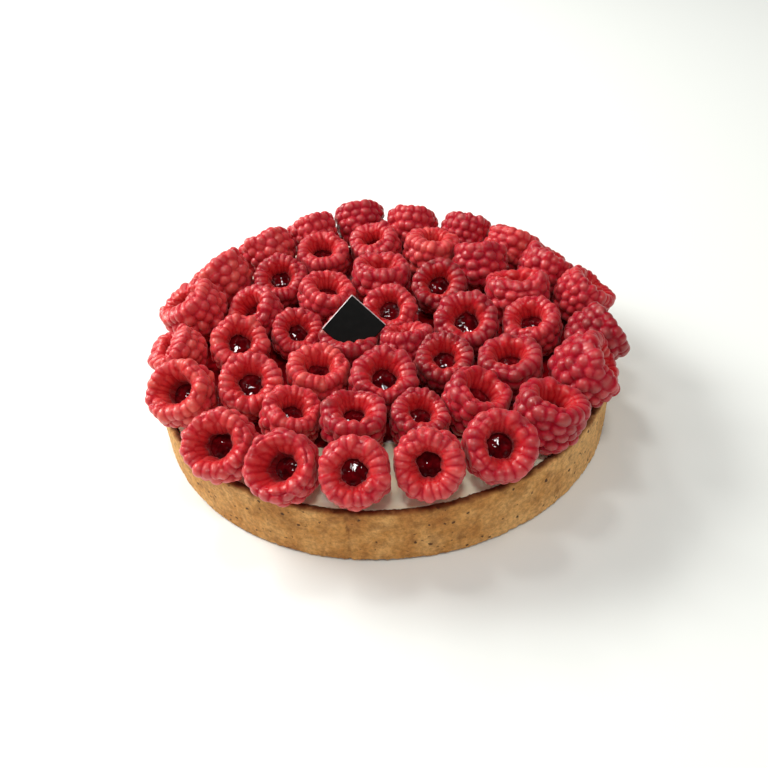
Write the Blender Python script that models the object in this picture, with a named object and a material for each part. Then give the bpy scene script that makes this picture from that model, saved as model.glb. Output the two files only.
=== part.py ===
"""A raspberry tart: a straight-sided baked crust, filled with cream and covered with rings of raspberries.

Everything is modelled in millimetres and scaled to metres as it is placed. The origin is the middle of the
crust's flat base, +Z is up, and the front of the tart is at -Y.
"""

import random
from math import atan2, cos, exp, hypot, pi, radians, sin
from typing import NamedTuple

import bmesh
import bpy
from mathutils import Matrix, Vector

MM = 0.001  # metres in one of this file's units
GAP = 0.3  # clearance between pieces that touch

# Crust: a shell baked in a straight tart ring of 155 x 20 mm
CRUST_RADIUS = 77.5
CRUST_HEIGHT = 20.0
CRUST_WALL = 2.5
CRUST_FLOOR = 3.0
CRUST_EDGE = 0.7  # rounding of the foot and the rim
RIM_RISE = 0.9  # the rim stands this much higher at +X and lower at -X
RIM_WAVE = 0.25  # hand-trimmed unevenness of the rim
RIM_WAVES = ((3, 1.0, 0.6), (5, 0.6, 0.0))  # its waves: how many go round, their share, where they start
HALF_WAY_UP = CRUST_HEIGHT / 2  # everything above this follows the rim's uneven height
TURN_STEPS = 72
MERGE_DISTANCE = 0.001

# Cream: fills the crust to just below its rim
CREAM_DROP = 0.9

# Raspberry: its axis is local +Z, towards the open end. The profile runs from the jam in the hollow,
# up the hollow's wall, over the rim and down the outside to the tip.
BERRY_WIDTH = 20.0
BERRY_PROFILE = (
    (0.0, 4.0),
    (3.2, 4.3),
    (4.2, 7.2),
    (6.7, 8.5),
    (9.3, 5.8),
    (10.2, 0.7),
    (8.3, -5.5),
    (0.0, -9.2),
)
FIRST_KNOBBLY_ROW, LAST_KNOBBLY_ROW = 2, 6
DRUPELETS_ROUND = 10
DRUPELET_RELIEF = 0.5
BERRY_SINK = 0.8  # how far a berry's weight presses its underside flat
PRESS_DEPTH = 1.3  # thickness of berry flesh that gives way where two berries press together
NEIGHBOUR_REACH = 1.15  # berries nearer than this share of their radii added up press on each other
OVAL = 0.04  # berries are out of round by up to this share
SEED = 7

# Tag: a thin square plaque stuck by one corner into the hollow of a berry near the middle
TAG_SIDE = 15.0
TAG_THICKNESS = 0.8
TAG_MIDDLE = Vector((-9.0, -9.5, 36.3))
TAG_LEAN_BACK = 36.0
TAGGED_BERRIES = ("berry_centre_1", "berry_centre_2")  # the plaque cuts into these


class Berry(NamedTuple):
    """One raspberry in a ring: how it departs from its even slot, and where its open end points."""

    turn: float  # degrees round the ring from the even slot
    out: float  # mm outwards from the ring's radius
    width: float
    tilt: float  # degrees between the berry's axis and the vertical
    lean: float  # direction of the tilt, in degrees round from straight outwards


class Ring(NamedTuple):
    name: str
    radius: float
    first_angle: float
    on_rim: bool  # the outermost berries lie on the crust's rim, the others on the cream
    berries: tuple


RINGS = (
    Ring("outer", 69.5, -100.0, True, (
        Berry(2, 1.5, 20.6, 42, 3),
        Berry(1, 0.0, 20.6, 48, -20),
        Berry(-0.6, 1.9, 21.2, 38, -22),
        Berry(-1.8, 0.7, 21.5, 18, 68),
        Berry(-1, 1.0, 22.8, 58, 22),
        Berry(-2.5, 1.4, 20.2, 64, 24),
        Berry(-2, 0.5, 20.0, 40, 0),
        Berry(-4, -4.5, 20.5, 38, 5),
        Berry(-3, -2.5, 20.0, 38, 0),
        Berry(-4, -3.0, 20.6, 38, 0),
        Berry(-3, -4.0, 21.0, 38, 0),
        Berry(-3, 0.5, 20.6, 44, 0),
        Berry(-5, -1.0, 20.8, 38, 0),
        Berry(-5, -3.5, 21.5, 38, 0),
        Berry(-3, -2.5, 22.0, 40, 0),
        Berry(-2, -3.5, 22.5, 33, 8),
        Berry(-1, -1.5, 18.8, 35, -8),
        Berry(0, 0.5, 21.5, 33, 35),
        Berry(5, 4.0, 21.5, 38, 26),
        Berry(4, 3.0, 21.0, 38, 2),
    )),
    Ring("middle", 50.0, -102.0, False, (
        Berry(0, -1.0, 20.5, 8, 60),
        Berry(-1, -1.0, 18.5, 15, 20),
        Berry(-4, 0.3, 20.6, 22, 47),
        Berry(-5, -1.5, 21.0, 5, -115),
        Berry(-2, 1.0, 20.5, 18, -135),
        Berry(-6, -0.5, 22.5, 24, 85),
        Berry(-1, 0.5, 21.0, 40, 44),
        Berry(-1, -0.5, 21.5, 10, -18),
        Berry(0, 1.5, 20.0, 16, 128),
        Berry(0, 1.0, 20.5, 13, 162),
        Berry(0, -1.5, 20.0, 32, 138),
        Berry(3, -5.0, 20.0, 28, 45),
        Berry(1, -1.5, 20.0, 32, 103),
        Berry(4, 1.0, 21.0, 32, 63),
        Berry(2, 2.5, 19.0, 18, 104),
    )),
    Ring("inner", 29.0, -90.0, False, (
        Berry(-1, 2.5, 21.5, 22, 13),
        Berry(-5, 1.0, 19.5, 22, -43),
        Berry(-8, 0.0, 22.0, 28, -91),
        Berry(-1, 1.0, 19.5, 35, -141),
        Berry(-2, -1.5, 21.5, 9, -30),
        Berry(0, -2.0, 20.5, 13, -148),
        Berry(0, 0.0, 18.0, 32, 108),
        Berry(5, 4.0, 20.5, 10, 80),
    )),
    Ring("centre", 12.0, -140.0, False, (
        Berry(0, 2.0, 21.0, 13, 50),
        Berry(-38, 2.5, 19.0, 24, 150),
        Berry(-35, -4.0, 19.5, 34, -164),
    )),
)


def material(name, colour, roughness):
    mat = bpy.data.materials.new(name)
    mat.use_nodes = True
    mat.diffuse_color = (*colour, 1.0)
    shader = mat.node_tree.nodes["Principled BSDF"]
    shader.inputs["Base Color"].default_value = (*colour, 1.0)
    shader.inputs["Roughness"].default_value = roughness
    return mat


def add_piece(name, bm, mat, collection):
    """Writes a bmesh, in millimetres, to a new object in metres."""
    mesh = bpy.data.meshes.new(name)
    bm.transform(Matrix.Scale(MM, 4))
    bm.to_mesh(mesh)
    bm.free()
    mesh.materials.append(mat)
    piece = bpy.data.objects.new(name, mesh)
    collection.objects.link(piece)
    return piece


def turned(profile, steps):
    """A solid of revolution about Z, from a profile of (radius, height) that starts and ends on the axis."""
    bm = bmesh.new()
    points = [bm.verts.new((radius, 0.0, height)) for radius, height in profile]
    lines = [bm.edges.new(pair) for pair in zip(points, points[1:])]
    bmesh.ops.spin(
        bm, geom=points + lines, cent=(0, 0, 0), axis=(0, 0, 1), angle=2 * pi, steps=steps, use_merge=True
    )
    bmesh.ops.remove_doubles(bm, verts=bm.verts, dist=MERGE_DISTANCE)
    bmesh.ops.recalc_face_normals(bm, faces=bm.faces)
    return bm


def rim_height(x, y):
    """Height of the crust's rim: it rises towards +X, with a slight wave round it."""
    angle = atan2(y, x)
    wave = sum(share * sin(count * angle + start) for count, share, start in RIM_WAVES)
    reach = hypot(x, y) / CRUST_RADIUS
    return CRUST_HEIGHT + RIM_RISE * x / CRUST_RADIUS + RIM_WAVE * wave * reach**2


def cream_height(x, y):
    return rim_height(x, y) - CREAM_DROP


def crust():
    inner = CRUST_RADIUS - CRUST_WALL
    foot = (CRUST_RADIUS - CRUST_EDGE, 0.0), (CRUST_RADIUS, CRUST_EDGE)
    outer_rim = (CRUST_RADIUS, CRUST_HEIGHT - CRUST_EDGE), (CRUST_RADIUS - CRUST_EDGE, CRUST_HEIGHT)
    inner_rim = (inner + CRUST_EDGE, CRUST_HEIGHT), (inner, CRUST_HEIGHT - CRUST_EDGE)
    inside = (inner, CRUST_FLOOR), (0.0, CRUST_FLOOR)
    bm = turned(((0.0, 0.0), *foot, *outer_rim, *inner_rim, *inside), TURN_STEPS)
    for vert in bm.verts:
        if vert.co.z > HALF_WAY_UP:
            vert.co.z += rim_height(vert.co.x, vert.co.y) - CRUST_HEIGHT
    return bm


def cream():
    radius = CRUST_RADIUS - CRUST_WALL - GAP
    base = CRUST_FLOOR + GAP
    bm = turned(((0.0, base), (radius, base), (radius, CRUST_HEIGHT), (0.0, CRUST_HEIGHT)), TURN_STEPS)
    for vert in bm.verts:
        if vert.co.z > HALF_WAY_UP:
            vert.co.z = cream_height(vert.co.x, vert.co.y)
    return bm


def raspberry(width, oval):
    """A raspberry on its own axis: staggered drupelets round the rim and the outside, jam in the hollow."""
    bm = turned(BERRY_PROFILE, 2 * DRUPELETS_ROUND)
    profile = [Vector((radius, 0.0, height)) for radius, height in BERRY_PROFILE]
    for vert in bm.verts:
        flat = Vector((hypot(vert.co.x, vert.co.y), 0.0, vert.co.z))
        row = min(range(len(profile)), key=lambda i: (profile[i] - flat).length)
        if FIRST_KNOBBLY_ROW <= row <= LAST_KNOBBLY_ROW:
            along = profile[row + 1] - profile[row - 1]
            outwards = Vector((along.z, 0.0, -along.x)).normalized()
            column = atan2(vert.co.y, vert.co.x) * DRUPELETS_ROUND / pi
            height = DRUPELET_RELIEF * cos(pi * (column + row))
            spot = flat - outwards * height
            vert.co = Matrix.Rotation(atan2(vert.co.y, vert.co.x), 3, "Z") @ spot
    size = width / BERRY_WIDTH
    bm.transform(Matrix.Diagonal((size * (1 + oval), size * (1 - oval), size, 1.0)))
    return bm


def give_way(depth):
    """Where a point of flesh ends up that reaches depth past a wall: short of it, and in unchanged order."""
    reach = PRESS_DEPTH - GAP / 2
    if depth <= -PRESS_DEPTH:
        return depth
    return -GAP / 2 - reach * exp(-(depth + PRESS_DEPTH) / reach)


def press(bm, middle, normal):
    """Squashes a berry against the plane through middle that faces it."""
    for vert in bm.verts:
        depth = (vert.co - middle).dot(normal)
        vert.co += normal * (give_way(depth) - depth)


def settle(bm, place, on_rim):
    """Lowers a berry onto what carries it, which flattens its underside a little."""
    support = rim_height if on_rim else cream_height
    level = support(place.x, place.y) + GAP
    lowest = min(vert.co.z for vert in bm.verts)
    centre = Vector((place.x, place.y, level - lowest - BERRY_SINK))
    bm.transform(Matrix.Translation(centre))
    slope = Vector((RIM_RISE / CRUST_RADIUS, 0.0, -1.0)).normalized()
    press(bm, Vector((place.x, place.y, level)), slope)
    return centre


def laid_out():
    """Every berry on its place in its ring: name, bmesh, centre and radius."""
    chance = random.Random(SEED)
    found = []
    for ring in RINGS:
        for number, berry in enumerate(ring.berries):
            angle = ring.first_angle + number * 360 / len(ring.berries) + berry.turn
            place = Matrix.Rotation(radians(angle), 3, "Z") @ Vector((ring.radius + berry.out, 0.0, 0.0))
            towards = radians(angle + berry.lean)
            tilt_axis = Vector((-sin(towards), cos(towards), 0.0))
            bm = raspberry(berry.width, chance.uniform(-OVAL, OVAL))
            bm.transform(Matrix.Rotation(chance.uniform(0, 2 * pi), 4, "Z"))
            bm.transform(Matrix.Rotation(radians(berry.tilt), 4, tilt_axis))
            centre = settle(bm, place, ring.on_rim)
            found.append((f"berry_{ring.name}_{number + 1}", bm, centre, berry.width / 2))
    return found


def press_neighbours(berries):
    """Berries that would overlap flatten each other along the plane between them."""
    for _name, bm, centre, radius in berries:
        for _other, _mesh, other_centre, other_radius in berries:
            apart = other_centre - centre
            if 0 < apart.length < NEIGHBOUR_REACH * (radius + other_radius):
                middle = centre + apart * radius / (radius + other_radius)
                press(bm, middle, apart.normalized())


def tag(thickness):
    """The square plaque, standing on a corner and leaning back."""
    bm = bmesh.new()
    bmesh.ops.create_cube(bm, size=1.0)
    bm.transform(Matrix.Diagonal((TAG_SIDE, thickness, TAG_SIDE, 1.0)))
    bm.transform(Matrix.Rotation(pi / 4, 4, "Y"))
    bm.transform(Matrix.Rotation(radians(-TAG_LEAN_BACK), 4, "X"))
    bm.transform(Matrix.Translation(TAG_MIDDLE))
    return bm


def cut_slot(berry, cutter):
    slot = berry.modifiers.new("slot for the tag", "BOOLEAN")
    slot.operation = "DIFFERENCE"
    slot.object = cutter
    cutter.hide_render = True
    cutter.display_type = "WIRE"


def build():
    for old in list(bpy.data.objects):
        bpy.data.objects.remove(old, do_unlink=True)
    parts = bpy.data.collections.new("raspberry_tart")
    cutters = bpy.data.collections.new("raspberry_tart_cutters")
    for collection in (parts, cutters):
        bpy.context.scene.collection.children.link(collection)

    pastry = material("baked_sweet_pastry", (0.47, 0.26, 0.10), 0.75)
    filling = material("cream_filling", (0.84, 0.76, 0.70), 0.45)
    flesh = material("raspberry_flesh", (0.55, 0.02, 0.04), 0.35)
    plaque = material("black_plaque", (0.01, 0.01, 0.01), 0.3)

    add_piece("crust", crust(), pastry, parts)
    add_piece("cream", cream(), filling, parts)
    berries = laid_out()
    press_neighbours(berries)
    for name, bm, _centre, _radius in berries:
        add_piece(name, bm, flesh, parts)
    add_piece("tag", tag(TAG_THICKNESS), plaque, parts)
    slot_cutter = add_piece("tag_slot", tag(TAG_THICKNESS + 2 * GAP), plaque, cutters)
    for name in TAGGED_BERRIES:
        cut_slot(bpy.data.objects[name], slot_cutter)


build()
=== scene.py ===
"""A raspberry tart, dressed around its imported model.

The sections follow the tart as it is put together: the baked crust, the cream, the jam on the cream, the
raspberries with jam in their hollows, and the plaque. Sizes are in millimetres, and MM turns them to metres.
"""

import random
from math import atan2, cos, exp, hypot, pi, radians, sin, tau
from typing import NamedTuple

import bpy
import numpy as np
from mathutils import Matrix, Vector
from mathutils.kdtree import KDTree


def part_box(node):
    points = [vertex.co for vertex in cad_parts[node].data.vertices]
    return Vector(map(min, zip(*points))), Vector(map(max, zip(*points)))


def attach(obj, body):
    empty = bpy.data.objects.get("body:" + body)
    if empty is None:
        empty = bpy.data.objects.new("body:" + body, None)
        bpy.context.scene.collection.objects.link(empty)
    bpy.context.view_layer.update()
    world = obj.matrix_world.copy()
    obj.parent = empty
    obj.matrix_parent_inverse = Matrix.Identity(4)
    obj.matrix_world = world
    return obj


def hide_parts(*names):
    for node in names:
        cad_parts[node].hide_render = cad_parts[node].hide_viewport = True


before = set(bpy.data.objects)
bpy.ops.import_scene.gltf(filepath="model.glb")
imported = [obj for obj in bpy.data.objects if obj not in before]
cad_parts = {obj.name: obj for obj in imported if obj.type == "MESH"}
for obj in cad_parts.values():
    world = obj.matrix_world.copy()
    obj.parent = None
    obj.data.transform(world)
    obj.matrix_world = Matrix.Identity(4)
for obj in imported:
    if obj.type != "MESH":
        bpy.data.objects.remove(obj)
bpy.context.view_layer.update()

# ---------------------------------------------------------------------------------------------------------
# Crust. A straight-sided case of sweet pastry, lined into a 155 mm ring, trimmed by hand along the top and
# baked blind. The wall is sandy and freckled with bran, and painted paler towards the sides as light. The
# thin
# cut rim is darkest: toasted, and partly painted shade of the gap beside the cream.

MM = 0.001
CRUST_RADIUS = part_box("crust")[1].x / MM
CRUST_HEIGHT = 20.0
CRUST_WALL = 2.5
CRUST_FLOOR = 3.0
CRUST_EDGE = 0.7  # rounding of the foot and the rim
CORNER_SHARE = 0.3  # share of that rounding by which the middle of its curve is set in
RIM_RISE = 0.9  # the rim stands this much higher at +X and lower at -X
RIM_WAVE = 0.25  # unevenness left by the knife
RIM_WAVES = ((3, 1.0, 0.6), (5, 0.6, 0.0))  # its waves: how many go round, their share, where they start
HALF_WAY_UP = CRUST_HEIGHT / 2  # the rim's unevenness fades out on the way down to here
SEAM_ANGLE = radians(-100.0)  # where the ends of the pastry strip meet
SEAM_HALF_ANGLE = radians(0.35)
SEAM_DEPTH = 0.35
SEAM_REACH = 1.5  # how far inwards it runs across the rim
WALL_COLUMNS = 960  # half a millimetre each, as fine as the crumb
WALL_ROWS = 38
TOP_RINGS = 4  # fine rings across the top of the rim, and again down the inside of its lip
TOP_STEP = 0.37
LIP_STEP = 0.4
RELIEF = (  # of the baked dough: what it is, the size of a lump, its depth, and which way it goes
    ("bulges of the wall", 16.0, 0.5, "NORMAL"),
    ("crumb of the pastry", 1.1, 0.55, "NORMAL"),
    ("chips along the rim", 3.0, 0.9, "Z"),
)
PINHOLE_SPACING = 2.6
PINHOLE_DEPTH = 0.25
PINHOLE_SLOPE = (0.10, 0.22)  # where a pinhole's side starts and ends, as shares of the spacing


def rim_height(x, y):
    """Height of the crust's rim: it rises towards +X, with a slight wave round it."""
    angle = atan2(y, x)
    wave = sum(share * sin(count * angle + start) for count, share, start in RIM_WAVES)
    reach = hypot(x, y) / CRUST_RADIUS
    return CRUST_HEIGHT + RIM_RISE * x / CRUST_RADIUS + RIM_WAVE * wave * reach**2


def deselect_all():
    bpy.ops.object.select_all(action="DESELECT")


def select_only(piece):
    deselect_all()
    piece.select_set(True)
    bpy.context.view_layer.objects.active = piece


def apply_modifier(piece, kind, **settings):
    """Adds one modifier with these settings and applies it."""
    select_only(piece)
    bpy.ops.object.modifier_add(type=kind)
    modifier = piece.modifiers[-1]
    for name, value in settings.items():
        setattr(modifier, name, value)
    bpy.ops.object.modifier_apply(modifier=modifier.name)


def displace(piece, texture, depth, direction="NORMAL", level=0.5):
    """Moves a piece's surface by a texture, whose shade at the given level leaves it where it is."""
    apply_modifier(
        piece, "DISPLACE", texture=texture, texture_coords="LOCAL", direction=direction,
        strength=depth * MM, mid_level=level,
    )


def roughen(piece, name, size, depth, direction="NORMAL"):
    """Gives a piece uneven relief, with lumps of the given size and depth."""
    lumps = bpy.data.textures.new(name, "CLOUDS")
    lumps.noise_scale = size * MM
    displace(piece, lumps, depth, direction)


def points_of(mesh):
    """A mesh's points in millimetres, one row each."""
    flat = np.empty(len(mesh.vertices) * 3, np.float32)
    mesh.vertices.foreach_get("co", flat)
    return flat.reshape(-1, 3).astype(float) / MM


def move_points(mesh, points):
    mesh.vertices.foreach_set("co", (points * MM).astype(np.float32).ravel())
    mesh.update()


def keep_above(mesh, height):
    """Lifts what the relief has pushed under the given height."""
    points = points_of(mesh)
    points[:, 2] = np.maximum(points[:, 2], height)
    move_points(mesh, points)


def raise_rings(rings):
    """Extrudes the selected end of a turned shape, which is the first ring, through all the others."""
    for (radius, height), (next_radius, next_height) in zip(rings, rings[1:]):
        bpy.ops.mesh.extrude_region_move(
            TRANSFORM_OT_translate={"value": (0.0, 0.0, (next_height - height) * MM)}
        )
        grow = next_radius / radius
        bpy.ops.transform.resize(value=(grow, grow, 1.0), center_override=(0.0, 0.0, 0.0))


def turned_piece(name, rings, columns):
    """A closed shape turned round the tart's axis, from rings of (radius, height)."""
    deselect_all()
    radius, height = rings[0]
    bpy.ops.mesh.primitive_circle_add(
        vertices=columns, radius=radius * MM, fill_type="NGON", location=(0.0, 0.0, height * MM)
    )
    piece = bpy.context.object
    piece.name = piece.data.name = name
    bpy.ops.object.transform_apply()
    bpy.ops.object.mode_set(mode="EDIT")
    raise_rings(rings)
    bpy.ops.mesh.select_all(action="SELECT")
    bpy.ops.mesh.normals_make_consistent(inside=False)
    bpy.ops.object.mode_set(mode="OBJECT")
    return piece


inner = CRUST_RADIUS - CRUST_WALL
corner = CORNER_SHARE * CRUST_EDGE
wall_step = (CRUST_HEIGHT - 2 * CRUST_EDGE) / WALL_ROWS
crust_rings = [(CRUST_RADIUS - CRUST_EDGE, 0.0)]
crust_rings += [(CRUST_RADIUS, CRUST_EDGE + wall_step * i) for i in range(WALL_ROWS + 1)]
crust_rings += [(CRUST_RADIUS - corner, CRUST_HEIGHT - corner)]
crust_rings += [(CRUST_RADIUS - CRUST_EDGE - TOP_STEP * i, CRUST_HEIGHT) for i in range(TOP_RINGS)]
crust_rings += [(inner + corner, CRUST_HEIGHT - corner)]
crust_rings += [(inner, CRUST_HEIGHT - CRUST_EDGE - LIP_STEP * i) for i in range(TOP_RINGS)]
crust_rings += [(inner, CRUST_FLOOR)]
crust = turned_piece("baked_crust", crust_rings, WALL_COLUMNS)

points = points_of(crust.data)
for point in points:
    from_seam = abs(atan2(point[1], point[0]) - SEAM_ANGLE)
    if from_seam < SEAM_HALF_ANGLE and hypot(point[0], point[1]) > CRUST_RADIUS - SEAM_REACH:
        point[:2] *= 1 - SEAM_DEPTH / CRUST_RADIUS
    if point[2] > HALF_WAY_UP:
        share = (point[2] - HALF_WAY_UP) / HALF_WAY_UP
        point[2] += share * (rim_height(point[0], point[1]) - CRUST_HEIGHT)
move_points(crust.data, points)
for name, size, depth, direction in RELIEF:
    roughen(crust, name, size, depth, direction)
pinholes = bpy.data.textures.new("pinholes in the pastry", "VORONOI")
pinholes.noise_scale = PINHOLE_SPACING * MM
pinholes.use_color_ramp = True
for stop, position, shade in zip(pinholes.color_ramp.elements, PINHOLE_SLOPE, (0.0, 1.0)):
    stop.position = position
    stop.color = (shade, shade, shade, 1.0)
displace(crust, pinholes, PINHOLE_DEPTH, level=1.0)
keep_above(crust.data, 0.0)
crust.data.shade_smooth()


def linear(colour):
    """An sRGB hex colour as linear RGBA."""
    channels = [int(colour[i : i + 2], 16) / 255 for i in (1, 3, 5)]
    return (*[c / 12.92 if c <= 0.04045 else ((c + 0.055) / 1.055) ** 2.4 for c in channels], 1.0)


def new_material(name, inputs):
    """A material, its node tree and its Principled shader, which is given these input values."""
    material = bpy.data.materials.new(name)
    material.use_nodes = True
    shader = material.node_tree.nodes["Principled BSDF"]
    for socket, value in inputs.items():
        shader.inputs[socket].default_value = value
    return material, material.node_tree, shader


def add_node(tree, kind, links=None, inputs=None, stops=(), **settings):
    """Adds a node with its settings, input values and colour stops, and links it from other sockets."""
    node = tree.nodes.new("ShaderNode" + kind)
    for name, value in settings.items():
        setattr(node, name, value)
    for name, value in (inputs or {}).items():
        node.inputs[name].default_value = value
    for name, source in (links or {}).items():
        tree.links.new(source, node.inputs[name])
    if stops:
        elements = node.color_ramp.elements
        while len(elements) < len(stops):
            elements.new(0.5)
        for element, (position, colour) in zip(elements, stops):
            element.position = position
            element.color = linear(colour)
    return node


FACTOR, FIRST, SECOND, MIXED = 0, 6, 7, 2  # a colour Mix node's sockets, whose names aren't unique
PER_MM = (1 / MM,) * 3  # scale that turns Object coordinates to millimetres

PATCH_SIZE = 11.11  # of the paler and browner patches that the oven leaves
PAINTED_SHADE_X = -10.0  # where along the front the wall is painted darkest, as shade
PAINTED_LIGHT_SIDEWAYS = 0.000045  # how much paler it is painted, as light, times the square of the distance from there
CRUMB_SIZE = 1.429
BRAN_SPACING = 2.222
BRAN_TEAR = 1.6  # how far the crumb pulls a speck of bran out of round
TOAST_SIZE = 3.333  # of the tongues along the edge of the toasted rim
TOAST_RAGGED = 2.4  # how far they run down the wall
LIP_RAGGED = 3.0  # and across the top
GRIT_SIZE = 0.4545  # sugar and flour, drawn a little coarser than they are


def baked_pastry():
    """Sweet pastry, baked dry: matt, sandy, golden with toasted patches and bran specks, painted paler
    towards the sides as light, and with a dark cut rim that is partly toasted and partly painted shade.
    """
    material, tree, shader = new_material("baked sweet pastry", {
        "Roughness": 0.82,
        "IOR": 1.45,
        "Subsurface Weight": 0.08,
        "Subsurface Radius": (1.0, 0.6, 0.3),
        "Subsurface Scale": 1.0 * MM,
    })
    place = add_node(tree, "TexCoord").outputs["Object"]
    place = add_node(tree, "Mapping", {"Vector": place}, {"Scale": PER_MM}).outputs["Vector"]
    along = add_node(tree, "SeparateXYZ", {"Vector": place}).outputs

    # Dough: golden, with a sandy crumb, and painted paler towards the sides of the tart as light
    patches = add_node(
        tree, "TexNoise", {"Vector": place}, {"Scale": 1 / PATCH_SIZE, "Detail": 4.0, "Roughness": 0.6}
    ).outputs["Fac"]
    # Painted light and shade: the wall is painted darkest at PAINTED_SHADE_X and paler towards the sides
    aside = add_node(tree, "Math", {0: along["X"]}, {1: -PAINTED_SHADE_X}, operation="ADD").outputs["Value"]
    squared = add_node(tree, "Math", {0: aside, 1: aside}, operation="MULTIPLY").outputs["Value"]
    patches_with_painted_light = add_node(
        tree, "Math", {0: squared, 2: patches}, {1: PAINTED_LIGHT_SIDEWAYS}, operation="MULTIPLY_ADD"
    ).outputs["Value"]
    golden = add_node(
        tree, "ValToRGB", {"Fac": patches_with_painted_light}, stops=((0.30, "#BC7937"), (0.50, "#D3964E"), (0.75, "#F0B972"))
    ).outputs["Color"]
    crumb = add_node(
        tree, "TexNoise", {"Vector": place}, {"Scale": 1 / CRUMB_SIZE, "Detail": 5.0, "Roughness": 0.7}
    ).outputs
    crumb_shade = add_node(
        tree, "ValToRGB", {"Fac": crumb["Fac"]}, stops=((0.38, "#745A3E"), (0.60, "#FFFFFF"))
    ).outputs["Color"]
    dough = add_node(
        tree, "Mix", {FIRST: golden, SECOND: crumb_shade}, {FACTOR: 0.42},
        data_type="RGBA", blend_type="MULTIPLY",
    ).outputs[MIXED]

    # Bran: a dark speck of its own size in about half of the cells, torn out of round
    torn = add_node(
        tree, "VectorMath", {0: crumb["Color"], 2: place}, {1: (BRAN_TEAR,) * 3}, operation="MULTIPLY_ADD"
    ).outputs["Vector"]
    cells = add_node(
        tree, "TexVoronoi", {"Vector": torn}, {"Scale": 1 / BRAN_SPACING, "Randomness": 1.0}
    ).outputs
    chance = add_node(tree, "SeparateColor", {"Color": cells["Color"]}).outputs["Red"]
    reach = add_node(tree, "MapRange", {"Value": chance}, {"From Min": 0.45, "To Max": 0.3}).outputs["Result"]
    within = add_node(
        tree, "Math", {0: reach, 1: cells["Distance"]}, operation="SUBTRACT"
    ).outputs["Value"]
    bran = add_node(
        tree, "MapRange", {"Value": within}, {"From Min": -0.02, "From Max": 0.06}
    ).outputs["Result"]
    freckled = add_node(
        tree, "Mix", {FACTOR: bran, FIRST: dough}, {SECOND: linear("#5A3A20")}, data_type="RGBA"
    ).outputs[MIXED]

    # Toast: browner down from the slanting rim, and darkest along the inside of the cut top, which is partly
    # toasted and partly painted shade of the gap beside the cream
    ragged = add_node(
        tree, "TexNoise", {"Vector": place}, {"Scale": 1 / TOAST_SIZE, "Detail": 4.0}
    ).outputs["Fac"]
    level = add_node(
        tree, "Math", {0: along["X"], 2: along["Z"]}, {1: -RIM_RISE / CRUST_RADIUS}, operation="MULTIPLY_ADD"
    ).outputs["Value"]
    lifted = add_node(
        tree, "Math", {0: ragged, 2: level}, {1: TOAST_RAGGED}, operation="MULTIPLY_ADD"
    ).outputs["Value"]
    toast = add_node(
        tree, "MapRange", {"Value": lifted},
        {"From Min": CRUST_HEIGHT + 0.2, "From Max": CRUST_HEIGHT + 1.4, "To Max": 0.8},
    ).outputs["Result"]
    toasted = add_node(
        tree, "Mix", {FACTOR: toast, FIRST: freckled}, {SECOND: linear("#935A28")}, data_type="RGBA"
    ).outputs[MIXED]
    flat = add_node(
        tree, "VectorMath", {0: place}, {1: (1.0, 1.0, 0.0)}, operation="MULTIPLY"
    ).outputs["Vector"]
    radius = add_node(tree, "VectorMath", {0: flat}, operation="LENGTH").outputs["Value"]
    frayed = add_node(
        tree, "Math", {0: ragged, 2: radius}, {1: -LIP_RAGGED}, operation="MULTIPLY_ADD"
    ).outputs["Value"]
    # The lip's dark brown is partly toast and partly painted shade where the cream meets the crust
    lip_toast_and_painted_shade = add_node(
        tree, "MapRange", {"Value": frayed}, {"From Min": inner + 0.9, "From Max": inner - 0.5}
    ).outputs["Result"]
    colour = add_node(
        tree, "Mix", {FACTOR: lip_toast_and_painted_shade, FIRST: toasted}, {SECOND: linear("#66320F")}, data_type="RGBA"
    ).outputs[MIXED]
    tree.links.new(colour, shader.inputs["Base Color"])

    grit = add_node(
        tree, "TexNoise", {"Vector": place}, {"Scale": 1 / GRIT_SIZE, "Detail": 4.0, "Roughness": 0.7}
    ).outputs["Fac"]
    bump = add_node(tree, "Bump", {"Height": grit}, {"Strength": 0.8, "Distance": 0.35 * MM})
    tree.links.new(bump.outputs["Normal"], shader.inputs["Normal"])
    return material


crust.data.materials.append(baked_pastry())
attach(crust, "root")
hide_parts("crust")

# ---------------------------------------------------------------------------------------------------------
# Cream. A whipped filling, piped into the crust and levelled just under its rim with a palette knife. It is
# smooth, damp and off-white, and creeps a little up the pastry.

CREAM_DROP = 0.9  # below the rim
CREAM_SIDE_GAP = 0.3
CREAM_COLUMNS = 360
CREAM_RINGS = 60
CREAM_TOP_EDGE = 1.0  # the side's own last ring starts this far down, to shade the side apart from the top
MENISCUS = 0.5  # how far the cream creeps up the pastry
MENISCUS_WIDTH = 2.0
MENISCUS_DIP = 0.15  # how much lower the rest lies for it
KNIFE_STROKE = 9.0
KNIFE_DEPTH = 0.5


def cream_height(x, y):
    return rim_height(x, y) - CREAM_DROP


cream_radius = inner - CREAM_SIDE_GAP
cream_base = CRUST_FLOOR + CREAM_SIDE_GAP
cream_top = CRUST_HEIGHT - CREAM_DROP
cream_rings = [(cream_radius, cream_base), (cream_radius, cream_top - CREAM_TOP_EDGE)]
cream_rings += [(cream_radius * (1 - i / CREAM_RINGS), cream_top) for i in range(CREAM_RINGS)]
cream = turned_piece("cream_filling", cream_rings, CREAM_COLUMNS)
points = points_of(cream.data)
for point in points:
    if point[2] > HALF_WAY_UP:
        edge = max(0.0, 1 - (cream_radius - hypot(point[0], point[1])) / MENISCUS_WIDTH)
        point[2] = cream_height(point[0], point[1]) + MENISCUS * edge**2 - MENISCUS_DIP
move_points(cream.data, points)
roughen(cream, "strokes of the knife", KNIFE_STROKE, KNIFE_DEPTH, "Z")
keep_above(cream.data, cream_base)
cream.data.shade_smooth()

JUICE_SIZE = 8.333  # of the faint stains
AIR_SIZE = 2.0  # of the hollows that air leaves in the surface


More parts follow.
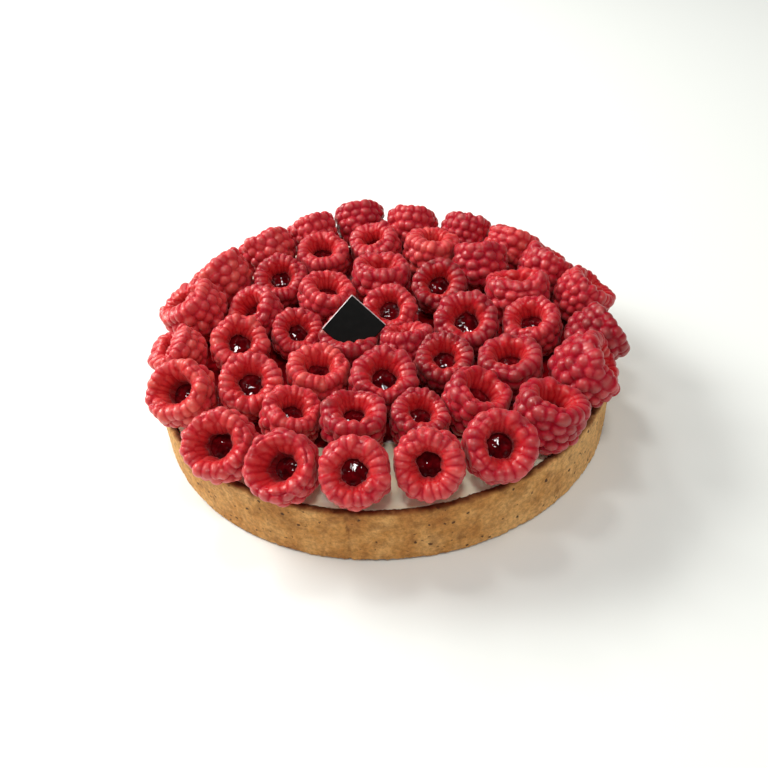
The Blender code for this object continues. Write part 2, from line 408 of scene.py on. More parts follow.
def whipped_cream():
    """Vanilla cream: fat and water, so pale, translucent and softly wet, with faint stains of juice."""
    material, tree, shader = new_material("whipped vanilla cream", {
        "Roughness": 0.34,
        "IOR": 1.4,
        "Subsurface Weight": 0.2,
        "Subsurface Radius": (1.0, 0.8, 0.65),
        "Subsurface Scale": 1.0 * MM,
    })
    place = add_node(tree, "TexCoord").outputs["Object"]
    place = add_node(tree, "Mapping", {"Vector": place}, {"Scale": PER_MM}).outputs["Vector"]
    juice = add_node(
        tree, "TexNoise", {"Vector": place}, {"Scale": 1 / JUICE_SIZE, "Detail": 3.0}
    ).outputs["Fac"]
    colour = add_node(tree, "ValToRGB", {"Fac": juice}, stops=((0.42, "#FFFFDE"), (0.70, "#FFF6CC")))
    tree.links.new(colour.outputs["Color"], shader.inputs["Base Color"])
    air = add_node(tree, "TexNoise", {"Vector": place}, {"Scale": 1 / AIR_SIZE, "Detail": 3.0}).outputs["Fac"]
    bump = add_node(tree, "Bump", {"Height": air}, {"Strength": 0.25, "Distance": 0.2 * MM})
    tree.links.new(bump.outputs["Normal"], shader.inputs["Normal"])
    return material


cream.data.materials.append(whipped_cream())
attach(cream, "root")
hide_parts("cream")

# ---------------------------------------------------------------------------------------------------------
# Jam on the cream. Raspberry jam, spread thin and lumpy before the fruit is laid, so that it shows in the
# gaps between the inner berries, where its dark red also stands in as painted shade. It has soaked in and
# gone dull, and stops short of the front edge.

JAM_RADIUS = 74.0
JAM_COLUMNS = 240
JAM_RINGS = 50
JAM_THICKNESS = 5.0  # down into the cream, where the underside is never seen
JAM_TOP_EDGE = 2.0  # depth of the side's own last ring
JAM_MIDDLE = 3.0  # depth above which the rings belong to the top
FRONT = -pi / 2
JAM_SHORT = 25.5  # the jam stops this much earlier at the front
JAM_SHORT_HALF_ANGLE = 0.9
JAM_SHORE = 3.0  # width of its sloping edge
JAM_RISE = 1.8  # how far the jam rises over that edge
JAM_FOOT = 1.26  # how far the edge's foot lies under the cream
JAM_LUMPS = ((7.0, 1.6), (2.5, 0.7))  # sizes and depths

jam_rings = [(JAM_RADIUS, CRUST_HEIGHT - JAM_THICKNESS), (JAM_RADIUS, CRUST_HEIGHT - JAM_TOP_EDGE)]
jam_rings += [(JAM_RADIUS * (1 - i / JAM_RINGS), CRUST_HEIGHT) for i in range(JAM_RINGS)]
jam_and_gap_shade = turned_piece("jam_and_painted_gap_shade_on_the_cream", jam_rings, JAM_COLUMNS)
points = points_of(jam_and_gap_shade.data)
for point in points:
    shore = min(1.0, (JAM_RADIUS - hypot(point[0], point[1])) / JAM_SHORE)
    from_front = (atan2(point[1], point[0]) - FRONT + pi) % tau - pi
    point[:2] *= 1 - JAM_SHORT / JAM_RADIUS * exp(-((from_front / JAM_SHORT_HALF_ANGLE) ** 2))
    if point[2] > CRUST_HEIGHT - JAM_MIDDLE:
        point[2] = cream_height(point[0], point[1]) + JAM_RISE * shore - JAM_FOOT
move_points(jam_and_gap_shade.data, points)
for size, depth in JAM_LUMPS:
    roughen(jam_and_gap_shade, "lumps in the jam", size, depth, "Z")
jam_and_gap_shade.data.shade_smooth()

PULP_SIZE = 2.5


def raspberry_jam(name, roughness, shine, thick, thin):
    """Raspberries cooked with sugar: a dark red gel that looks nearly black where it lies thick, and clearer
    over the lumps of pulp. Left in a pool it sets with a wet shine, and soaked into cream it goes dull."""
    material, tree, shader = new_material(
        name, {"Roughness": roughness, "IOR": 1.55, "Specular IOR Level": shine}
    )
    place = add_node(tree, "TexCoord").outputs["Object"]
    place = add_node(tree, "Mapping", {"Vector": place}, {"Scale": PER_MM}).outputs["Vector"]
    pulp = add_node(
        tree, "TexNoise", {"Vector": place}, {"Scale": 1 / PULP_SIZE, "Detail": 2.0}
    ).outputs["Fac"]
    colour = add_node(tree, "ValToRGB", {"Fac": pulp}, stops=((0.38, thick), (0.70, thin)))
    tree.links.new(colour.outputs["Color"], shader.inputs["Base Color"])
    bump = add_node(tree, "Bump", {"Height": pulp}, {"Strength": 0.35, "Distance": 0.5 * MM})
    tree.links.new(bump.outputs["Normal"], shader.inputs["Normal"])
    return material


# The soaked jam is real jam, and its dark red also serves as painted shade in the gaps between berries
soaked_jam_and_gap_shade = raspberry_jam("jam soaked into the cream", 0.22, 0.2, "#5E030A", "#A00A16")
jam_and_gap_shade.data.materials.append(soaked_jam_and_gap_shade)
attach(jam_and_gap_shade, "root")

# ---------------------------------------------------------------------------------------------------------
# Raspberries. Fresh fruit, set open end up in four rings, with jam piped into each hollow. A berry is a cup
# of soft, downy drupelets: long ones fold over its rim into the hollow, round ones overlap down the outside.


class Row(NamedTuple):
    """One row of drupelets round a berry, in millimetres on a berry 20 mm wide."""

    count: int
    radius: float
    height: float
    size: tuple  # half sizes: outwards, round the berry, upwards
    lean: float  # degrees that the drupelets lean outwards
    wander: float = 0.3  # how far a drupelet strays up or down from its row


class Kind(NamedTuple):
    """One pattern of raspberry, of which several berries are copied."""

    seed: int
    rows: tuple


BERRY_WIDTH = 20.0
BODY = (  # outline of the flesh under the drupelets: radius and height, from the hollow's floor to the tip
    (0.05, -2.2), (2.8, -2.1), (3.5, 0.6), (4.1, 3.4), (4.9, 5.2), (6.6, 6.3),
    (8.5, 4.9), (9.0, 1.0), (7.9, -4.0), (4.6, -7.2), (0.05, -8.6),
)
BODY_COLUMNS = 36
RIM_ROUND = 7.9  # radius at which the rim's drupelets share out their round
RIM_FULLNESS = 0.86  # their half width, as a share of a slot
SIDE_ROUND = 8.4  # the same for the widest rows on the side
SIDE_FULLNESS = 0.63


def kind_rows(rim_count, side_count):
    """The rim's two rows and the staggered rows under them, their sizes worked out from the counts."""
    rim_half = RIM_FULLNESS * tau * RIM_ROUND / rim_count
    side_half = SIDE_FULLNESS * tau * SIDE_ROUND / side_count
    return (
        Row(rim_count, 7.05, 5.15, (2.6, rim_half, 2.65), 16),
        Row(rim_count, 5.3, 4.0, (1.6, 0.64 * rim_half, 3.1), 22, 0.2),
        Row(side_count, 8.2, 2.6, (2.0, side_half, 1.95), 15, 0.7),
        Row(side_count, 8.2, -0.4, (2.1, side_half, 1.95), 0, 0.8),
        Row(side_count - 2, 7.5, -3.3, (2.1, side_half, 1.95), -15, 0.8),
        Row(side_count - 5, 5.8, -5.8, (2.1, side_half, 1.9), -35, 0.6),
        Row(6, 3.1, -7.3, (1.9, 1.9, 1.7), -60),
        Row(1, 0.0, -7.6, (1.8, 1.8, 1.6), 0),
    )


KINDS = {
    "round": Kind(3, kind_rows(21, 16)),
    "fine": Kind(8, kind_rows(23, 18)),
    "coarse": Kind(5, kind_rows(18, 14)),
    "loose": Kind(14, kind_rows(19, 15)),
}
RIM_TAPER = 0.35  # the long drupelets on the rim are this much slimmer towards the hollow
SPLIT_SHARE = 0.25  # of those are two round ones instead
SPLIT = (  # each one's fold, its shift outwards and up, its half size outwards, and shares of the other two
    ("outside", 0.95, -0.35, 1.75, 1.05, 0.85),
    ("rim", -1.1, 0.15, 1.65, 0.85, 0.85),
)
GROWTH = (0.88, 1.14)  # smallest and largest drupelet of a row, as shares of the row's size
STRETCH = (0.94, 1.06)  # the same along each of its axes
STRAY_OUT = 0.35  # how far a drupelet sits in or out of its row
STRAY_ROUND = 0.14  # how far along it, as a share of its slot
STRAY_LEAN = 6.0  # degrees
VOXEL = 0.24
SMOOTHING = 2
KEPT_FACES = 0.2  # share of the skin's faces; it loses most where it is smoothest
NEIGHBOURS = 5  # drupelets looked at for a crease: one fold has three at most
HOLLOW_EDGE = 7.4  # radius at which the hollow's colour starts
HOLLOW_BLEND = 2.4  # how far inwards it grows to its full share
HOLLOW_TOP = 5.0  # height at which the colour starts to darken, as painted shade
HOLLOW_DEPTH = 4.0
HOLLOW_FLOOR = -3.0


def set_drupelet(pattern, row, turn, chance):
    """Copies the drupelet to its place in a row, slightly out of line and of its own size."""
    growth = chance.uniform(*GROWTH)
    size = [half * growth * chance.uniform(*STRETCH) for half in row.size]
    out = chance.uniform(-STRAY_OUT, STRAY_OUT)
    place = Vector((row.radius + out, 0.0, row.height + chance.uniform(-row.wander, row.wander)))
    lean = radians(row.lean + chance.uniform(-STRAY_LEAN, STRAY_LEAN))
    drupelet = pattern.copy()
    drupelet.data = pattern.data.copy()
    drupelet.matrix_world = (
        Matrix.Rotation(turn, 4, "Z")
        @ Matrix.Translation(place * MM)
        @ Matrix.Rotation(lean, 4, "Y")
        @ Matrix.Diagonal((*(Vector(size) * MM), 1.0))
    )
    bpy.context.scene.collection.objects.link(drupelet)
    return drupelet


def split_row(row, out, up, deep, wide, tall):
    """The row that one of a split drupelet's round parts stands in, changed from the long one's."""
    _deep, half_width, half_height = row.size
    return row._replace(
        radius=row.radius + out, height=row.height + up, size=(deep, half_width * wide, half_height * tall)
    )


def mark_skin(mesh, centres, tones, folds):
    """Stores for each point its drupelet's own tone, how near it is to a crease, and how deep in the hollow.

    A crease is where another drupelet is as near, unless the two are parts of one fold over the rim.
    """
    tree = KDTree(len(centres))
    for i, centre in enumerate(centres):
        tree.insert(centre, i)
    tree.balance()
    points = points_of(mesh)
    tone, crease = [], []
    for point in points:
        (own, nearest, first), *others = tree.find_n(point, NEIGHBOURS)
        beside, second = next((centre, apart) for centre, i, apart in others if folds[i] != folds[nearest])
        tone.append(tones[nearest])
        crease.append(1 - (second**2 - first**2) / (beside - own).length_squared)
    inwards = np.clip((HOLLOW_EDGE - np.hypot(points[:, 0], points[:, 1])) / HOLLOW_BLEND, 0.0, 1.0)
    depth = np.clip((HOLLOW_TOP - points[:, 2]) / HOLLOW_DEPTH, 0.0, 1.0)
    hollow = inwards * (0.5 + 0.5 * depth) * (points[:, 2] > HOLLOW_FLOOR)
    for name, values in (("tone", tone), ("crease", np.clip(crease, 0.0, 1.0)), ("hollow", hollow)):
        attribute = mesh.attributes.new(name, "FLOAT", "POINT")
        attribute.data.foreach_set("value", np.array(values, np.float32))


def model_kind(kind):
    """One raspberry on its own axis, open end up: the cup and its drupelets fused into one skin."""
    chance = random.Random(kind.seed)
    berry = turned_piece("berry body", BODY[::-1], BODY_COLUMNS)
    deselect_all()
    bpy.ops.mesh.primitive_ico_sphere_add(subdivisions=3, radius=1.0)
    round_one = bpy.context.object
    long_one = round_one.copy()
    long_one.data = round_one.data.copy()
    bpy.context.scene.collection.objects.link(long_one)
    apply_modifier(long_one, "SIMPLE_DEFORM", deform_method="TAPER", deform_axis="X", factor=RIM_TAPER)

    drupelets = []
    folds = []  # which fold over the rim each drupelet belongs to, or its own place
    for number, row in enumerate(kind.rows):
        stagger = 0.5 if number > 1 and number % 2 else 0.0
        for i in range(row.count):
            turn = tau * (i + stagger + chance.uniform(-STRAY_ROUND, STRAY_ROUND)) / row.count
            if number > 0:
                parts = ((round_one, row, "rim" if number == 1 else number),)
            elif chance.random() < SPLIT_SHARE:
                parts = [(round_one, split_row(row, *change), fold) for fold, *change in SPLIT]
            else:
                parts = ((long_one, row, "rim"),)
            for pattern, part, fold in parts:
                drupelets.append(set_drupelet(pattern, part, turn, chance))
                folds.append((fold, i))
    centres = [drupelet.matrix_world.translation / MM for drupelet in drupelets]
    tones = [chance.uniform(-1.0, 1.0) for _ in drupelets]
    bpy.data.objects.remove(round_one)
    bpy.data.objects.remove(long_one)

    select_only(berry)
    for drupelet in drupelets:
        drupelet.select_set(True)
    bpy.ops.object.join()
    apply_modifier(berry, "REMESH", mode="VOXEL", voxel_size=VOXEL * MM)
    apply_modifier(berry, "SMOOTH", factor=0.5, iterations=SMOOTHING)
    apply_modifier(berry, "DECIMATE", ratio=KEPT_FACES)
    mark_skin(berry.data, centres, tones, folds)
    return berry


POOL_RADIUS = 4.2
POOL_HEIGHT = 1.8  # of its middle, above the middle of the berry
POOL_FLATNESS = 0.3
POOL_LUMP, POOL_LUMP_DEPTH = 2.2, 0.9


def jam_pool():
    """Jam filling a hollow, heaped a little and lumpy."""
    deselect_all()
    bpy.ops.mesh.primitive_uv_sphere_add(
        segments=32, ring_count=20, radius=POOL_RADIUS * MM, location=(0.0, 0.0, POOL_HEIGHT * MM),
        scale=(1.0, 1.0, POOL_FLATNESS),
    )
    pool = bpy.context.object
    bpy.ops.object.transform_apply()
    roughen(pool, "heaped jam", POOL_LUMP, POOL_LUMP_DEPTH, "Z")
    return pool


BLOTCH_SIZE = 3.333
DOWN_SIZE = 0.4167  # the hairs are ten times finer, too fine to show


def raspberry_skin():
    """Ripe raspberry skin: thin, juicy and translucent, so red glows in it, and a little wet, under a fine
    pale down, painted paler on the drupelets' crests as down and partly as a painted highlight. Berries and
    drupelets differ in ripeness, the creases between drupelets are painted dark as shade and are dull, and
    the hollow's wall is a clearer red, painted darker further down as shade."""
    material, tree, shader = new_material("downy raspberry skin", {
        "Roughness": 0.38,
        "IOR": 1.45,
        "Specular Tint": linear("#FFE6D6"),
        "Coat Weight": 0.16,
        "Coat Roughness": 0.16,
        "Subsurface Weight": 0.5,
        "Subsurface Radius": (1.0, 0.12, 0.08),
        "Subsurface Scale": 2.0 * MM,
        "Sheen Weight": 0.25,
        "Sheen Roughness": 0.4,
        "Sheen Tint": linear("#FFB8B0"),
    })
    place = add_node(tree, "TexCoord").outputs["Object"]
    place = add_node(tree, "Mapping", {"Vector": place}, {"Scale": PER_MM}).outputs["Vector"]
    ripeness, tone, crease, hollow = [
        add_node(tree, "Attribute", attribute_name=name).outputs["Fac"]
        for name in ("ripeness", "tone", "crease", "hollow")
    ]

    # Skin: from dark crimson to a light orange-red, by berry, by drupelet and in faint blotches
    ripe = add_node(
        tree, "Math", {0: tone, 2: ripeness}, {1: 0.12}, operation="MULTIPLY_ADD"
    ).outputs["Value"]
    clouds = add_node(
        tree, "TexNoise", {"Vector": place}, {"Scale": 1 / BLOTCH_SIZE, "Detail": 2.0}
    ).outputs["Fac"]
    blotch = add_node(
        tree, "MapRange", {"Value": clouds}, {"To Min": -0.15, "To Max": 0.15}
    ).outputs["Result"]
    blotched = add_node(tree, "Math", {0: ripe, 1: blotch}, operation="ADD").outputs["Value"]
    skin = add_node(
        tree, "ValToRGB", {"Fac": blotched},
        stops=((0.0, "#860F20"), (0.35, "#AE1A2F"), (0.7, "#CD303B"), (1.0, "#E46458")),
    ).outputs["Color"]
    # Painted highlight and down: the drupelets' crests are painted paler, partly for their pale down and
    # partly as highlight
    pale_down_and_highlight = add_node(
        tree, "MapRange", {"Value": crease}, {"From Min": 0.8, "From Max": 0.0, "To Max": 0.10}
    ).outputs["Result"]
    downy = add_node(
        tree, "Mix", {FACTOR: pale_down_and_highlight, FIRST: skin}, {SECOND: linear("#BE9882")}, data_type="RGBA"
    ).outputs[MIXED]

    # Hollow, a clearer red painted darker deeper down as shade, and creases painted dark as shade
    # The hollow's wall: a clearer red near the rim, painted darker further down as shade
    wall = add_node(
        tree, "ValToRGB", {"Fac": hollow}, stops=((0.5, "#CC1E1D"), (0.85, "#A80A13"), (1.0, "#70030A"))
    ).outputs["Color"]
    inside = add_node(
        tree, "MapRange", {"Value": hollow}, {"From Max": 0.6, "To Max": 0.75}
    ).outputs["Result"]
    flesh = add_node(
        tree, "Mix", {FACTOR: inside, FIRST: downy, SECOND: wall}, data_type="RGBA"
    ).outputs[MIXED]
    # Painted shade: the creases between drupelets are darkened, as shade that falls there
    shaded = add_node(
        tree, "MapRange", {"Value": crease}, {"From Min": 0.5, "To Max": 0.42}
    ).outputs["Result"]
    painted_crease_shade = add_node(
        tree, "Mix", {FACTOR: shaded, FIRST: flesh}, {SECOND: linear("#900310")}, data_type="RGBA"
    ).outputs[MIXED]
    tree.links.new(painted_crease_shade, shader.inputs["Base Color"])
    shine = add_node(
        tree, "MapRange", {"Value": crease}, {"From Min": 0.4, "From Max": 0.9, "To Min": 0.7, "To Max": 0.0}
    )
    tree.links.new(shine.outputs["Result"], shader.inputs["Specular IOR Level"])

    down = add_node(
        tree, "TexNoise", {"Vector": place}, {"Scale": 1 / DOWN_SIZE, "Detail": 4.0}
    ).outputs["Fac"]
    bump = add_node(tree, "Bump", {"Height": down}, {"Strength": 0.35, "Distance": 0.2 * MM})
    tree.links.new(bump.outputs["Normal"], shader.inputs["Normal"])
    return material


skin_material = raspberry_skin()
jam_material = raspberry_jam("set raspberry jam", 0.06, 0.5, "#3E0207", "#780611")
patterns = {}
for name, kind in KINDS.items():
    berry = model_kind(kind)
    berry.data.materials.append(skin_material)
    pool = jam_pool()
    pool.data.materials.append(jam_material)
    pool_points = len(pool.data.vertices)
    select_only(berry)
    pool.select_set(True)
    bpy.ops.object.join()
    patterns[name] = berry.data
    bpy.data.objects.remove(berry)


class Berry(NamedTuple):
    """One raspberry in a ring: how it departs from its even slot, and where its open end points."""

    turn: float  # degrees round the ring from the even slot
    out: float  # outwards from the ring's radius
    width: float
    tilt: float  # degrees between the berry's axis and the vertical
    lean: float  # direction of the tilt, in degrees round from straight outwards
    kind: str
    spin: float  # degrees that its pattern is turned on its own axis
    ripeness: float  # 0 for dark crimson to 1 for light orange-red
    dips: tuple = ()  # places on the rim that have sunk: (direction in degrees, depth, half width in degrees)
    mouth: tuple = (1.0, 1.0)  # the hollow's shape: shares of its width across and along
    low: float = 0.0  # how far its jam lies under the usual level


class Ring(NamedTuple):
    name: str
    radius: float
    first_angle: float
    on_rim: bool  # the outermost berries lie on the crust's rim, the others on the cream
    berries: tuple


RINGS = (
    Ring("outer", 69.5, -100.0, True, (
        Berry(2, 1.5, 20.6, 42, 3, "round", 0, 0.60),
        Berry(1, 0.0, 20.6, 48, -20, "fine", 30, 0.62, low=1.2),
        Berry(-0.6, 1.9, 21.2, 38, -22, "coarse", 60, 0.45, ((-90, 0.8, 40),), (0.95, 1.1), 1.5),
        Berry(-1.8, 0.7, 21.5, 18, 68, "coarse", 90, 0.26),
        Berry(-1, 1.0, 22.8, 58, 22, "round", 120, 0.35, ((-20, 1.6, 30),), low=2.0),
        Berry(-2.5, 1.4, 20.2, 64, 24, "coarse", 10, 0.15),
        Berry(-2, 0.5, 20.0, 40, 0, "fine", 40, 0.52),
        Berry(-4, -4.5, 20.5, 38, 5, "round", 80, 0.45, ((0, 1.4, 35),)),
        Berry(-3, -2.5, 20.0, 38, 0, "coarse", 20, 0.70, ((180, 1.6, 40),)),
        Berry(-4, -3.0, 20.6, 38, 0, "fine", 50, 0.42, ((5, 2.8, 50), (180, 0.9, 35))),
        Berry(-3, -4.0, 21.0, 38, 0, "round", 70, 0.55, ((10, 2.6, 48), (180, 0.9, 35))),
        Berry(-3, 0.5, 20.6, 44, 0, "coarse", 110, 0.44, ((85, 1.6, 20), (0, 1.6, 38), (180, 2.0, 38))),
        Berry(-5, -1.0, 20.8, 38, 0, "fine", 130, 0.60, ((20, 1.3, 40), (180, 2.4, 45))),
        Berry(-5, -3.5, 21.5, 38, 0, "round", 160, 0.66, ((95, 2.4, 22), (180, 1.8, 40), (20, 1.2, 35))),
        Berry(-3, -2.5, 22.0, 40, 0, "coarse", 200, 0.72, ((60, 1.0, 30), (180, 1.5, 40))),
        Berry(-2, -3.5, 22.5, 33, 8, "fine", 220, 0.70, (), (1.1, 0.55)),
        Berry(-1, -1.5, 18.8, 35, -8, "loose", 240, 0.70, ((75, 2.0, 26), (255, 1.4, 26)), (0.45, 1.15)),
        Berry(0, 0.5, 21.5, 33, 35, "round", 260, 0.75, (), (1.15, 1.1), 2.4),
        Berry(5, 4.0, 21.5, 38, 26, "fine", 280, 0.65, (), (1.15, 1.1), 2.2),
        Berry(4, 3.0, 21.0, 38, 2, "coarse", 300, 0.5, ((30, 0.9, 35),), (1.25, 1.2), 3.6),
    )),
    Ring("middle", 50.0, -102.0, False, (
        Berry(0, -1.0, 20.5, 8, 60, "loose", 0, 0.30, ((90, 2.2, 34),), (1.0, 1.15), 0.8),
        Berry(-1, -1.0, 18.5, 15, 20, "fine", 30, 0.24),
        Berry(-4, 0.3, 20.6, 22, 47, "coarse", 60, 0.38, (), (1.05, 1.2)),
        Berry(-5, -1.5, 21.0, 5, -115, "coarse", 90, 0.22),
        Berry(-2, 1.0, 20.5, 18, -135, "round", 120, 0.47),
        Berry(-6, -0.5, 22.5, 24, 85, "loose", 150, 0.48, ((-85, 1.8, 40),), (1.25, 0.75)),
        Berry(-1, 0.5, 21.0, 40, 44, "coarse", 180, 0.39, ((90, 1.5, 30),)),
        Berry(-1, -0.5, 21.5, 10, -18, "round", 210, 0.72, (), (0.8, 0.85)),
        Berry(0, 1.5, 20.0, 16, 128, "loose", 240, 0.46, (), (0.9, 0.8)),
        Berry(0, 1.0, 20.5, 13, 162, "round", 270, 0.54),
        Berry(0, -1.5, 20.0, 32, 138, "fine", 300, 0.35),
        Berry(3, -5.0, 20.0, 28, 45, "coarse", 330, 0.45, ((-60, 1.2, 35),), low=1.5),
        Berry(1, -1.5, 20.0, 32, 103, "round", 15, 0.70),
        Berry(4, 1.0, 21.0, 32, 63, "fine", 45, 0.65),
        Berry(2, 2.5, 19.0, 18, 104, "round", 75, 0.62),
    )),
    Ring("inner", 29.0, -90.0, False, (
        Berry(-1, 2.5, 21.5, 22, 13, "round", 0, 0.34),
        Berry(-5, 1.0, 19.5, 22, -43, "fine", 40, 0.12),
        Berry(-8, 0.0, 22.0, 28, -91, "round", 80, 0.25),
        Berry(-1, 1.0, 19.5, 35, -141, "coarse", 120, 0.15),
        Berry(-2, -1.5, 21.5, 9, -30, "loose", 160, 0.40, (), (1.1, 0.8)),
        Berry(0, -2.0, 20.5, 13, -148, "round", 200, 0.60),
        Berry(0, 0.0, 18.0, 32, 108, "fine", 240, 0.50),
        Berry(5, 4.0, 20.5, 10, 80, "fine", 280, 0.74),
    )),
    Ring("centre", 12.0, -140.0, False, (
        Berry(0, 2.0, 21.0, 13, 50, "loose", 0, 0.18, ((0, 2.6, 45), (180, 1.8, 45))),
        Berry(-38, 2.5, 19.0, 24, 150, "fine", 100, 0.42),
        Berry(-35, -4.0, 19.5, 34, -164, "round", 200, 0.58),
    )),
)
MOUTH_HEIGHT = 6.0  # height at which a mouth has its full shape, from none in the berry's middle
MOUTH_EDGE = 9.0  # radius at which that shape starts, so that the outside keeps its own
MOUTH_BLEND = 3.5  # how far inwards it grows to the full
GAP = 0.3  # clearance between berries that touch
BERRY_SINK = 0.8  # how far a berry's weight presses its underside flat
PRESS_DEPTH = 1.3  # thickness of berry flesh that gives way where two berries press together
NEIGHBOUR_REACH = 1.15  # berries nearer than this share of their radii added up press on each other


def shape_mouth(points, berry):
    """Draws the hollow out of round and lets the rim sink where the berry has dented."""
    open_end = np.clip(points[:, 2] / MOUTH_HEIGHT, 0.0, 1.0)
    within = np.clip((MOUTH_EDGE - np.hypot(points[:, 0], points[:, 1])) / MOUTH_BLEND, 0.0, 1.0)
    for axis, width in enumerate(berry.mouth):
        points[:, axis] *= 1 + (width - 1) * open_end * within
    angle = np.degrees(np.arctan2(points[:, 1], points[:, 0]))
    for middle, depth, spread in berry.dips:
        away = (angle - middle + 180) % 360 - 180
        points[:, 2] -= depth * open_end**2 * np.exp(-((away / spread) ** 2))


def press(points, middle, normal):
    """Squashes the points of a berry that come near the plane through middle, or would pass it."""
    depth = (points - middle) @ normal
    soft = PRESS_DEPTH - GAP / 2
    pressed = -GAP / 2 - soft * np.exp(-(np.maximum(depth, -PRESS_DEPTH) + PRESS_DEPTH) / soft)
    points += np.outer(np.where(depth <= -PRESS_DEPTH, depth, pressed) - depth, normal)


def settle(points, place, on_rim):
    """Lowers a berry onto what carries it, which flattens its underside a little. Returns its centre."""
    level = (rim_height if on_rim else cream_height)(place.x, place.y) + GAP
    centre = np.array((place.x, place.y, level - points[:, 2].min() - BERRY_SINK))
    points += centre
    slope = Vector((RIM_RISE / CRUST_RADIUS, 0.0, -1.0)).normalized()
    press(points, np.array((place.x, place.y, level)), np.array(slope))
    return centre


laid = []
for ring in RINGS:
    for number, berry in enumerate(ring.berries):
        angle = ring.first_angle + number * 360 / len(ring.berries) + berry.turn
        place = Matrix.Rotation(radians(angle), 3, "Z") @ Vector((ring.radius + berry.out, 0.0, 0.0))
        towards = radians(angle + berry.lean)
        turned = Matrix.Rotation(radians(berry.spin), 3, "Z")
        tilted = Matrix.Rotation(radians(berry.tilt), 3, Vector((-sin(towards), cos(towards), 0.0)))
        points = points_of(patterns[berry.kind]) @ np.array(turned).T
        points[-pool_points:, 2] -= berry.low
        shape_mouth(points, berry)
        points = points @ np.array(tilted).T * berry.width / BERRY_WIDTH
        centre = settle(points, place, ring.on_rim)
        laid.append((f"{ring.name}_{number + 1}", berry, points, centre))

for _name, berry, points, centre in laid:
    for _other_name, neighbour, _other_points, other_centre in laid:
        apart = other_centre - centre
        distance = np.linalg.norm(apart)
        radii = (berry.width + neighbour.width) / 2
        if 0 < distance < NEIGHBOUR_REACH * radii:
            press(points, centre + apart * berry.width / 2 / radii, apart / distance)

for name, berry, points, _centre in laid:
    mesh = patterns[berry.kind].copy()
    mesh.name = "raspberry_" + name
    move_points(mesh, points)
    ripeness = mesh.attributes.new("ripeness", "FLOAT", "POINT")
    ripeness.data.foreach_set("value", np.full(len(mesh.vertices), berry.ripeness, np.float32))
    mesh.shade_smooth()
    piece = bpy.data.objects.new("raspberry_" + name, mesh)
    bpy.context.scene.collection.objects.link(piece)
    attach(piece, "root")
    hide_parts("berry_" + name)

# ---------------------------------------------------------------------------------------------------------
# Plaque. A square of thin black plastic sheet, cut with pale edges and pushed by one corner into the jam of a
# berry near the middle. Nothing is written on it.

PLAQUE_SIDE = 15.0
PLAQUE_THICKNESS = 0.8
PLAQUE_CHAMFER = 0.28
PLAQUE_MIDDLE = Vector((-9.0, -9.5, 36.3))
PLAQUE_LEAN_BACK = 36.0
EDGE_NORMAL = 0.9  # faces that look less far forwards or back than this belong to the edge
UPPER_NORMAL = 0.1  # of these, the ones that look further left or up than this will be the upper two, facing the window light

deselect_all()
bpy.ops.mesh.primitive_cube_add(size=1.0, scale=(PLAQUE_SIDE * MM, PLAQUE_THICKNESS * MM, PLAQUE_SIDE * MM))
plaque = bpy.context.object
plaque.name = plaque.data.name = "black_plaque"
bpy.ops.object.transform_apply()
apply_modifier(plaque, "BEVEL", width=PLAQUE_CHAMFER * MM, segments=1, limit_method="ANGLE")

RUB_SIZE = 2.0
NICK_SIZE = 0.6667


def plastic(name, roughness, ior, mark_size, detail, stops):
    """Polystyrene sheet, whose colour varies a little with the marks of handling or of the knife."""
    material, tree, shader = new_material(name, {"Roughness": roughness, "IOR": ior})
    place = add_node(tree, "TexCoord").outputs["Object"]
    place = add_node(tree, "Mapping", {"Vector": place}, {"Scale": PER_MM}).outputs["Vector"]
    marks = add_node(
        tree, "TexNoise", {"Vector": place}, {"Scale": 1 / mark_size, "Detail": detail}
    ).outputs["Fac"]
    colour = add_node(tree, "ValToRGB", {"Fac": marks}, stops=stops)
    tree.links.new(colour.outputs["Color"], shader.inputs["Base Color"])
    return material


# The face is printed black, smooth and half glossy, with faint rub marks
plaque.data.materials.append(
    plastic("black plastic sheet", 0.45, 1.3, RUB_SIZE, 4.0, ((0.35, "#0B0D0B"), (0.75, "#131513")))
)
# The two upper edges show the sheet's own pale grey, where it was cut, and as they face the window light, the
# pale grey there is also a painted highlight
plaque.data.materials.append(
    plastic("cut edge with painted highlight", 0.5, 1.5, NICK_SIZE, 3.0, ((0.35, "#B7A6A4"), (0.65, "#D6C8C6")))
)
for face in plaque.data.polygons:
    if abs(face.normal.y) < EDGE_NORMAL and max(-face.normal.x, face.normal.z) > UPPER_NORMAL:
        face.material_index = 1
plaque.data.transform(Matrix.Rotation(pi / 4, 4, "Y"))
plaque.data.transform(Matrix.Rotation(radians(-PLAQUE_LEAN_BACK), 4, "X"))
plaque.data.transform(Matrix.Translation(PLAQUE_MIDDLE * MM))
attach(plaque, "root")
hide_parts("tag")

# ---------------------------------------------------------------------------------------------------------
# Studio. A plain white table in a soft white room, a large window light from the left and behind, and four
# small lamps, which fill the front and give the wet jam its glints.

TABLE_SIDE = 6000.0
TABLE_DROP = 0.2  # under the foot of the crust, so that the two are never in one plane
ROOM_STRENGTH = 0.52
DIM_SIDE = (0.0, 0.77, 0.64)  # the room is dimmer in this direction, high behind the tart
LIGHTS = (  # name, place and size in metres, power in watts
    ("window light", (-0.75, 0.35, 0.62), 0.42, 10.2),
    ("lamp over the front", (0.0, -0.45, 1.0), 0.16, 2.6),
    ("lamp overhead", (-0.2, 0.25, 0.95), 0.14, 1.2),
    ("lamp over the left", (-0.4, -0.24, 0.9), 0.09, 0.5),
    ("lamp over the back", (-0.12, 0.62, 0.55), 0.12, 0.9),
)

deselect_all()
bpy.ops.mesh.primitive_plane_add(size=TABLE_SIDE * MM, location=(0.0, 0.0, -TABLE_DROP * MM))
table = bpy.context.object
table.name = "table_top"
table_finish = {"Base Color": linear("#EFF1EB"), "Roughness": 0.9}
table.data.materials.append(new_material("matt white table", table_finish)[0])

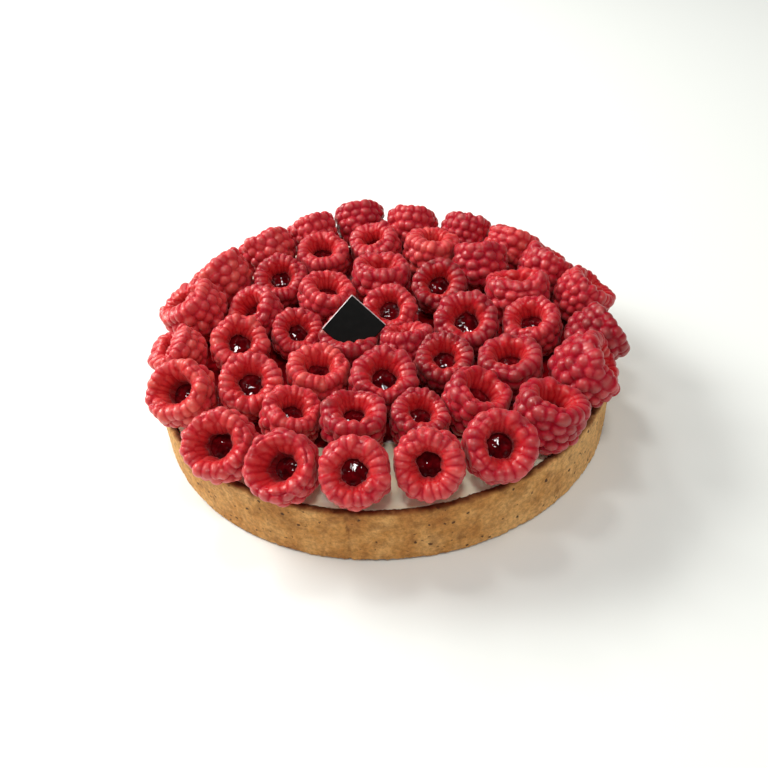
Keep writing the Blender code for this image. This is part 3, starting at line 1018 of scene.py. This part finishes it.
world = bpy.data.worlds.new("white room")
world.use_nodes = True
world.cycles_visibility.glossy = False
bpy.context.scene.world = world
tree = world.node_tree
direction = add_node(tree, "TexCoord").outputs["Generated"]
facing = add_node(
    tree, "VectorMath", {0: direction}, {1: DIM_SIDE}, operation="DOT_PRODUCT"
).outputs["Value"]
room = add_node(tree, "ValToRGB", {"Fac": facing}, stops=((0.45, "#FFFFFF"), (0.9, "#6A6A6A")))
tree.links.new(room.outputs["Color"], tree.nodes["Background"].inputs["Color"])
tree.nodes["Background"].inputs["Strength"].default_value = ROOM_STRENGTH

for name, place, size, power in LIGHTS:
    light = bpy.data.lights.new(name, "AREA")
    light.size = size
    light.energy = power
    lamp = bpy.data.objects.new(name, light)
    lamp.location = place
    lamp.rotation_euler = (-Vector(place)).to_track_quat("-Z", "Y").to_euler()
    bpy.context.scene.collection.objects.link(lamp)
bpy.context.scene.view_settings.view_transform = "Standard"

# ---------------------------------------------------------------------------------------------------------
# Camera. It looks down on the tart from the front, turned a few degrees on its own axis.

CAMERA_ELEVATION = radians(39.6)
CAMERA_ROLL = radians(-3.6)
CAMERA_DISTANCE = 310.0  # from the crust's base, along the view
PICTURE_SIDE = 768
FOCAL_PIXELS = 853.0
ORIGIN_PIXEL = (385.5, 391.0)  # where the middle of the crust's base shows

backwards = Vector((0.0, -cos(CAMERA_ELEVATION), sin(CAMERA_ELEVATION)))
level_right = Vector((1.0, 0.0, 0.0))
level_up = backwards.cross(level_right)
camera_right = level_right * cos(CAMERA_ROLL) + level_up * sin(CAMERA_ROLL)
camera_up = level_up * cos(CAMERA_ROLL) - level_right * sin(CAMERA_ROLL)
across = (ORIGIN_PIXEL[0] - PICTURE_SIDE / 2) / FOCAL_PIXELS * CAMERA_DISTANCE
upwards = (PICTURE_SIDE / 2 - ORIGIN_PIXEL[1]) / FOCAL_PIXELS * CAMERA_DISTANCE
eye = (backwards * CAMERA_DISTANCE - camera_right * across - camera_up * upwards) * MM

lens = bpy.data.cameras.new("camera")
lens.sensor_width = 36.0
lens.lens = FOCAL_PIXELS / PICTURE_SIDE * lens.sensor_width
lens.clip_start = 0.01
camera = bpy.data.objects.new("camera", lens)
turned = Matrix((camera_right, camera_up, backwards)).transposed()
camera.matrix_world = Matrix.Translation(eye) @ turned.to_4x4()
bpy.context.scene.collection.objects.link(camera)
bpy.context.scene.camera = camera
